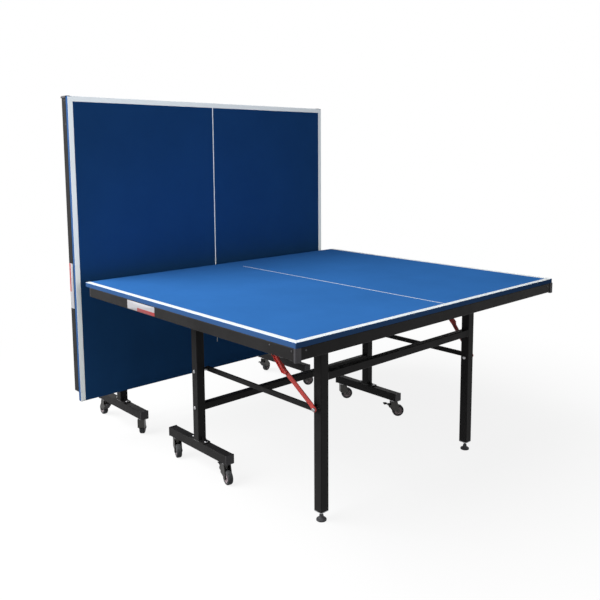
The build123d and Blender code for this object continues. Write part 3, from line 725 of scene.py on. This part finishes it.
class TABLE_OT_weld_beads(bpy.types.Operator):
    """Weld the wheel legs to their base plates and the stretchers to the end legs"""

    bl_idname = "table_tennis.weld_beads"
    bl_label = "Weld beads"

    def execute(self, context):
        radius = context.scene.table_trim.bead_radius
        coat = bpy.data.materials["frame_coat"]
        for half in HALVES:
            low, high = box(half + "_wheel_legs")
            floor = box(half + "_wheel_feet")[1][2] + BASE_PLATE
            reach = high[1] - LEG_SIZE / 2
            middle = np.array([(low[0] + high[0]) / 2, 0.0, floor])
            bead = self.bead(LEG_SIZE / 2, LEG_SIZE / 2, radius)
            origins = middle + np.array([[0.0, -reach, 0.0], [0.0, reach, 0.0]])
            grid = placed(bead, origins, np.eye(3))
            lay_mesh(half + "_leg_welds", grid, half + "_stand", coat, shut_rows=True)
            low, high = box(half + "_end_stretcher")
            size = (high - low) / 2
            centre = (low + high) / 2
            bead = self.bead(size[0], size[2], radius)
            origins = centre + np.array([[0.0, -size[1], 0.0], [0.0, size[1], 0.0]])
            upright = np.array([[1.0, 0.0, 0.0], [0.0, 0.0, 1.0], [0.0, 1.0, 0.0]])
            grid = placed(bead, origins, upright)
            body = half + "_end_leg_frame"
            lay_mesh(half + "_stretcher_welds", grid, body, coat, shut_rows=True)
        return {"FINISHED"}

    def bead(self, half_width, half_height, radius):
        """Closed bead: a circle carried round a rounded rectangle, its radius rippling along the way."""
        corners = rounded_outline(half_width, half_height, BEAD_CORNER, 5)
        path = np.concatenate([corners, corners[:1]])
        gap = np.linalg.norm(np.diff(path, axis=0), axis=1)
        travel = np.concatenate([[0.0], np.cumsum(gap)])
        at = np.linspace(0.0, travel[-1], 240, endpoint=False)
        track = np.stack([np.interp(at, travel, path[:, axis]) for axis in (0, 1)], axis=-1)
        ahead = np.roll(track, -1, 0) - np.roll(track, 1, 0)
        ahead /= np.linalg.norm(ahead, axis=1, keepdims=True)
        outward = np.stack([ahead[:, 1], -ahead[:, 0]], axis=-1)
        ripple = radius * (1.0 + BEAD_RIPPLE * np.cos(2 * pi * BEAD_RIPPLES * np.arange(len(at)) / len(at)))
        angle = np.linspace(0.0, 2 * pi, 10, endpoint=False)
        side = ripple[:, None] * np.cos(angle)
        rise = ripple[:, None] * np.sin(angle)
        flat = track[:, None, :] + side[..., None] * outward[:, None, :]
        return np.concatenate([flat, rise[..., None]], axis=-1)


class TABLE_OT_caster_hubs(bpy.types.Operator):
    """Set a ribbed hub disc in both sides of every caster wheel"""

    bl_idname = "table_tennis.caster_hubs"
    bl_label = "Caster hubs"

    def execute(self, context):
        plastic = moulded_plastic("hub_plastic", tuple(context.scene.table_finish.hub), roughness=0.45)
        disc = self.disc(96, 9)
        for half in HALVES:
            for spot in SPOTS:
                joint = [item for item in frame["joints"] if item["name"] == f"{half}_roller_{spot}_spin"][0]
                axis = np.array(joint["axis"], float)
                up = np.array([0.0, 0.0, 1.0])
                axes = np.stack([np.stack([np.cross(up, way * axis), up, way * axis]) for way in (-1.0, 1.0)])
                grid = placed(disc, np.array([joint["pos_m"]] * 2), axes)
                lay_mesh(f"{half}_hub_{spot}", grid, f"{half}_roller_{spot}", plastic)
        return {"FINISHED"}

    def disc(self, columns, rows):
        """Flat ring from the hub to the tyre; its height is a floor plus a rounded rib at equal angles."""
        floor = WHEEL_HALF_WIDTH - WHEEL_DISH
        angle = np.linspace(0.0, 2 * pi, columns, endpoint=False)
        radius = np.linspace(HUB_RADIUS, DISH_RADIUS, rows)[:, None]
        turn = (angle * HUB_RIBS / (2 * pi)) % 1.0 - 0.5
        away = turn * 2 * pi / HUB_RIBS * radius
        rib = np.exp(-((away / RIB_HALF_WIDTH) ** 2))
        height = floor + DISC_FACE + RIB_HEIGHT * rib
        front = np.stack([radius * np.cos(angle), radius * np.sin(angle), height], axis=-1)
        back = front.copy()
        back[..., 2] = floor - DISC_BACK
        return np.concatenate([back[:1], front, back[-1:], back[:1]], axis=0)


class TABLE_OT_levelling_feet(bpy.types.Operator):
    """Turn the flared pads with their threaded studs and set a lock nut under each end leg"""

    bl_idname = "table_tennis.levelling_feet"
    bl_label = "Levelling feet"

    def execute(self, context):
        pitch = context.scene.table_trim.thread_pitch
        plastic = bpy.data.materials["black_plastic"]
        steel = bpy.data.materials["screw_steel"]
        pad = revolved(self.pad_profile(), 48)
        nut = self.nut(NUT_APOTHEM, NUT_HEIGHT)
        for half in HALVES:
            spots = []
            for side in SIDES:
                node = f"{half}_levelling_foot_{side}"
                low, high = box(node)
                spot = np.array([(low[0] + high[0]) / 2, (low[1] + high[1]) / 2, low[2]])
                spots.append(spot)
                body = f"{half}_foot_{side}"
                grid = placed(pad, spot, np.eye(3))
                piece = lay_mesh(f"{half}_pad_{side}", grid, body, plastic)
                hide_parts(node)
                grid = placed(self.stud(STUD_BOTTOM, high[2] - low[2], pitch), spot, np.eye(3))
                lay_mesh(f"{half}_stud_{side}", grid, body, steel, crease=60.0)
            grid = placed(nut, np.array(spots), np.eye(3))
            lay_mesh(half + "_lock_nuts", grid, half + "_end_leg_frame", steel)
        return {"FINISHED"}

    def pad_profile(self):
        """Pad from the middle of its sole to the rim, then up a hollow flare to the neck round the stud."""
        flare = np.linspace(0.0, pi / 2, 9)
        neck = STUD_RADIUS + NECK_WALL
        waist = PAD_RADIUS - WAIST_INSET
        narrow, climb = waist - neck, PAD_HEIGHT - FLARE_FOOT
        curve = [(waist - narrow * sin(t), PAD_HEIGHT - climb * cos(t)) for t in flare]
        sole = [(0.0, 0.0), (PAD_RADIUS - 0.001, 0.0)]
        rim = [(PAD_RADIUS, 0.001), (PAD_RADIUS, 0.005), (waist + 0.0006, 0.0066)]
        return sole + rim + curve + [(STUD_RADIUS - 0.0004, PAD_HEIGHT), (0.0, PAD_HEIGHT)]

    def stud(self, bottom, top, pitch):
        """Threaded rod: its radius follows a wave that climbs by one pitch for each turn."""
        height = np.arange(bottom, top, pitch / 6)
        angle = np.linspace(0.0, 2 * pi, 30, endpoint=False)
        wave = 0.5 + 0.5 * np.cos(2 * pi * height[:, None] / pitch - angle)
        radius = STUD_RADIUS - THREAD_DEPTH * (1.0 - wave)
        level = np.repeat(height[:, None], len(angle), 1)
        shell = np.stack([radius * np.cos(angle), radius * np.sin(angle), level], axis=-1)
        ends = shell[[0, -1]] * np.array([0.0, 0.0, 1.0])
        return np.concatenate([ends[:1], shell, ends[1:]], axis=0)

    def nut(self, apothem, height):
        """Hexagonal nut below the leg: its flats by a cosine of the angle, cut by a cone at both faces."""
        angle = np.linspace(0.0, 2 * pi, 72, endpoint=False)
        hexagon = apothem / np.cos((angle + pi / 6) % (pi / 3) - pi / 6)
        base = LEG_END_HEIGHT - height - NUT_GAP
        limit, level = np.array(NUT_STEPS + NUT_STEPS[:1]).T[:, :, None]
        radius = np.minimum(hexagon, limit * apothem)
        rise = (base + level * height) * np.ones_like(angle)
        return np.stack([radius * np.cos(angle), radius * np.sin(angle), rise], axis=-1)


class TABLE_OT_finishes(bpy.types.Operator):
    """Give every part of the metalwork, the boards and the casters its finish"""

    bl_idname = "table_tennis.finishes"
    bl_label = "Finishes"

    def execute(self, context):
        colours = context.scene.table_finish
        coat = coated_metal("frame_coat", tuple(colours.frame_coat), roughness=0.52, specular=0.09)
        red = coated_metal("stay_red", tuple(colours.stay), roughness=0.42, specular=0.40, mottle=0.12)
        plastic = moulded_plastic("black_plastic", tuple(colours.plastic), roughness=0.50, specular=0.30)
        worn = shade(tuple(colours.plastic), CAP_FADE)
        cap = moulded_plastic("cap_plastic", worn, roughness=0.55, specular=0.30)
        zinc = plated_metal("zinc", tuple(colours.zinc), roughness=0.32)
        plated_metal("screw_steel", shade(tuple(colours.zinc), BLACKENING), roughness=0.40)
        fork = plated_metal("fork_steel", tuple(colours.fork), roughness=0.42)
        rubber = tyre_rubber("wheel_rubber", tuple(colours.tyre))
        finishes = {
            "frame_coat": coat, "stay_red": red, "black_plastic": plastic, "zinc": zinc,
            "fork_steel": fork, "wheel_rubber": rubber,
        }
        paints = tuple(colours.board), tuple(colours.edging), tuple(colours.backing)
        boards = {half: playing_paint(half, *paints, roughness=0.60, specular=0.0) for half in HALVES}
        for row in frame["record"]["subparts"]:
            node = row["node"]
            material = finishes.get(row["material_slot"])
            if node.endswith("_board"):
                material = boards[node.split("_")[0]]
            if node.endswith("_rail_caps"):
                material = cap
            if material is None:
                raise RuntimeError("no finish for " + node)
            mesh = frame["nodes"][node].data
            mesh.materials.clear()
            mesh.materials.append(material)
        return {"FINISHED"}


class TABLE_OT_stage(bpy.types.Operator):
    """Set up the pale floor, the soft light and the camera"""

    bl_idname = "table_tennis.stage"
    bl_label = "Stage"

    def execute(self, context):
        settings = context.scene.table_stage
        context.scene.view_settings.view_transform = "Standard"
        self.floor(context, settings)
        self.sky(context, settings)
        self.lamp(context, "overhead", settings.lamp_power, *OVERHEAD_LAMP)
        self.lamp(context, "front", settings.front_power, *FRONT_LAMP)
        fill = self.lamp(context, "line_fill", settings.fill_power, *LINE_LAMP)
        lit = bpy.data.collections.new("folded_half_lines")
        for name in ("side_line_left", "side_line_right", "end_line", "centre_line"):
            lit.objects.link(bpy.data.objects["fold_" + name])
        fill.light_linking.receiver_collection = lit
        self.camera(context)
        return {"FINISHED"}

    def seen(self, tree):
        """1 for rays that show the background: from the camera, off gloss or through glass."""
        path = tree.nodes.new("ShaderNodeLightPath")
        total = path.outputs["Is Camera Ray"]
        for name in ("Is Glossy Ray", "Is Transmission Ray"):
            most = tree.nodes.new("ShaderNodeMath")
            most.operation = "MAXIMUM"
            tree.links.new(total, most.inputs[0])
            tree.links.new(path.outputs[name], most.inputs[1])
            total = most.outputs["Value"]
        return total

    def floor(self, context, settings):
        """Wide flat floor: white to the eye with a share of the shadow, and a mid grey to the light."""
        mesh = bpy.data.meshes.new("floor")
        signs = np.array([(-1.0, -1.0, 0.0), (1.0, -1.0, 0.0), (1.0, 1.0, 0.0), (-1.0, 1.0, 0.0)])
        mesh.from_pydata(FLOOR_REACH * signs, [], [(0, 1, 2, 3)])
        floor = bpy.data.objects.new("floor", mesh)
        context.scene.collection.objects.link(floor)
        material = bpy.data.materials.new("pale_floor")
        material.use_nodes = True
        tree = material.node_tree
        tree.nodes.clear()
        output = tree.nodes.new("ShaderNodeOutputMaterial")
        glow = tree.nodes.new("ShaderNodeEmission")
        glow.inputs["Color"].default_value = (1.0, 1.0, 1.0, 1.0)
        shadowed = tree.nodes.new("ShaderNodeBsdfDiffuse")
        shadowed.inputs["Color"].default_value = (0.95, 0.95, 0.95, 1.0)
        bounce = tree.nodes.new("ShaderNodeBsdfDiffuse")
        bounce.inputs["Color"].default_value = (*settings.floor_bounce, 1.0)
        place = tree.nodes.new("ShaderNodeTexCoord")
        away = tree.nodes.new("ShaderNodeVectorMath")
        away.operation = "LENGTH"
        tree.links.new(place.outputs["Object"], away.inputs[0])
        fade = tree.nodes.new("ShaderNodeMapRange")
        fade.interpolation_type = "SMOOTHSTEP"
        limits = (*SHADOW_FADE, settings.shadow_share, 0.0)
        for name, value in zip(("From Min", "From Max", "To Min", "To Max"), limits):
            fade.inputs[name].default_value = value
        tree.links.new(away.outputs["Value"], fade.inputs["Value"])
        pale = tree.nodes.new("ShaderNodeMixShader")
        tree.links.new(fade.outputs["Result"], pale.inputs["Fac"])
        tree.links.new(glow.outputs["Emission"], pale.inputs[1])
        tree.links.new(shadowed.outputs["BSDF"], pale.inputs[2])
        choice = tree.nodes.new("ShaderNodeMixShader")
        tree.links.new(self.seen(tree), choice.inputs["Fac"])
        tree.links.new(bounce.outputs["BSDF"], choice.inputs[1])
        tree.links.new(pale.outputs["Shader"], choice.inputs[2])
        tree.links.new(choice.outputs["Shader"], output.inputs["Surface"])
        mesh.materials.append(material)

    def sky(self, context, settings):
        """White background to the eye, and an even soft light of its own level on the object."""
        world = bpy.data.worlds.new("studio")
        context.scene.world = world
        world.use_nodes = True
        tree = world.node_tree
        tree.nodes.clear()
        output = tree.nodes.new("ShaderNodeOutputWorld")
        white = tree.nodes.new("ShaderNodeBackground")
        white.inputs["Color"].default_value = (1.0, 1.0, 1.0, 1.0)
        soft = tree.nodes.new("ShaderNodeBackground")
        soft.inputs["Color"].default_value = (1.0, 1.0, 1.0, 1.0)
        soft.inputs["Strength"].default_value = settings.sky
        choice = tree.nodes.new("ShaderNodeMixShader")
        tree.links.new(self.seen(tree), choice.inputs["Fac"])
        tree.links.new(soft.outputs["Background"], choice.inputs[1])
        tree.links.new(white.outputs["Background"], choice.inputs[2])
        tree.links.new(choice.outputs["Shader"], output.inputs["Surface"])

    def lamp(self, context, name, power, size, place, target):
        """Square soft lamp at a place, aimed at a target."""
        data = bpy.data.lights.new(name, "AREA")
        data.shape = "SQUARE"
        data.size = size
        data.energy = power
        lamp = bpy.data.objects.new(name, data)
        context.scene.collection.objects.link(lamp)
        lamp.location = place
        lamp.rotation_euler = (Vector(target) - Vector(place)).to_track_quat("-Z", "Y").to_euler()
        return lamp

    def camera(self, context):
        """Camera from its azimuth, elevation and roll, with the lens and shift that frame the view."""
        azimuth, elevation, roll = CAMERA_AZIMUTH, CAMERA_ELEVATION, CAMERA_ROLL
        back = np.array([sin(azimuth) * cos(elevation), -cos(azimuth) * cos(elevation), sin(elevation)])
        level = np.array([cos(azimuth), sin(azimuth), 0.0])
        upright = np.cross(back, level)
        right = cos(roll) * level + sin(roll) * upright
        up = cos(roll) * upright - sin(roll) * level
        matrix = np.eye(4)
        matrix[:3, :3] = np.stack([right, up, back], axis=-1)
        matrix[:3, 3] = CAMERA_PLACE
        data = bpy.data.cameras.new("camera")
        data.sensor_width = CAMERA_SENSOR
        data.lens = FOCAL_PIXELS / PICTURE_SIDE * CAMERA_SENSOR
        data.shift_x = (PICTURE_SIDE / 2 - OPTICAL_AXIS_PIXEL[0]) / PICTURE_SIDE
        data.shift_y = (OPTICAL_AXIS_PIXEL[1] - PICTURE_SIDE / 2) / PICTURE_SIDE
        data.clip_end = 100.0
        camera = bpy.data.objects.new("camera", data)
        context.scene.collection.objects.link(camera)
        camera.matrix_world = Matrix(matrix.tolist())
        context.scene.camera = camera


OPERATORS = (
    TABLE_OT_finishes,
    TABLE_OT_court_lines,
    TABLE_OT_side_labels,
    TABLE_OT_rail_screws,
    TABLE_OT_weld_beads,
    TABLE_OT_caster_hubs,
    TABLE_OT_levelling_feet,
    TABLE_OT_stage,
)


class TABLE_PT_build(bpy.types.Panel):
    """Steps that dress the table, and what they can change"""

    bl_idname = "TABLE_PT_build"
    bl_label = "Table tennis table"
    bl_space_type = "VIEW_3D"
    bl_region_type = "UI"
    bl_category = "Table tennis"

    def draw(self, context):
        for operator in OPERATORS:
            self.layout.operator(operator.bl_idname)
        for name in SETTINGS:
            group = getattr(context.scene, name)
            column = self.layout.column()
            for key in group.__annotations__:
                column.prop(group, key)


SETTINGS = {
    "table_court": CourtSettings,
    "table_finish": FinishSettings,
    "table_trim": TrimSettings,
    "table_stage": StageSettings,
}


def register():
    for group in SETTINGS.values():
        bpy.utils.register_class(group)
    for name, group in SETTINGS.items():
        setattr(bpy.types.Scene, name, bpy.props.PointerProperty(type=group))
    for operator in OPERATORS:
        bpy.utils.register_class(operator)
    bpy.utils.register_class(TABLE_PT_build)


def unregister():
    bpy.utils.unregister_class(TABLE_PT_build)
    for operator in reversed(OPERATORS):
        bpy.utils.unregister_class(operator)
    for name, group in SETTINGS.items():
        delattr(bpy.types.Scene, name)
        bpy.utils.unregister_class(group)


def main():
    register()
    bpy.ops.table_tennis.finishes()
    bpy.ops.table_tennis.court_lines()
    bpy.ops.table_tennis.side_labels()
    bpy.ops.table_tennis.rail_screws()
    bpy.ops.table_tennis.weld_beads()
    bpy.ops.table_tennis.caster_hubs()
    bpy.ops.table_tennis.levelling_feet()
    bpy.ops.table_tennis.stage()


if __name__ == "__main__":
    main()
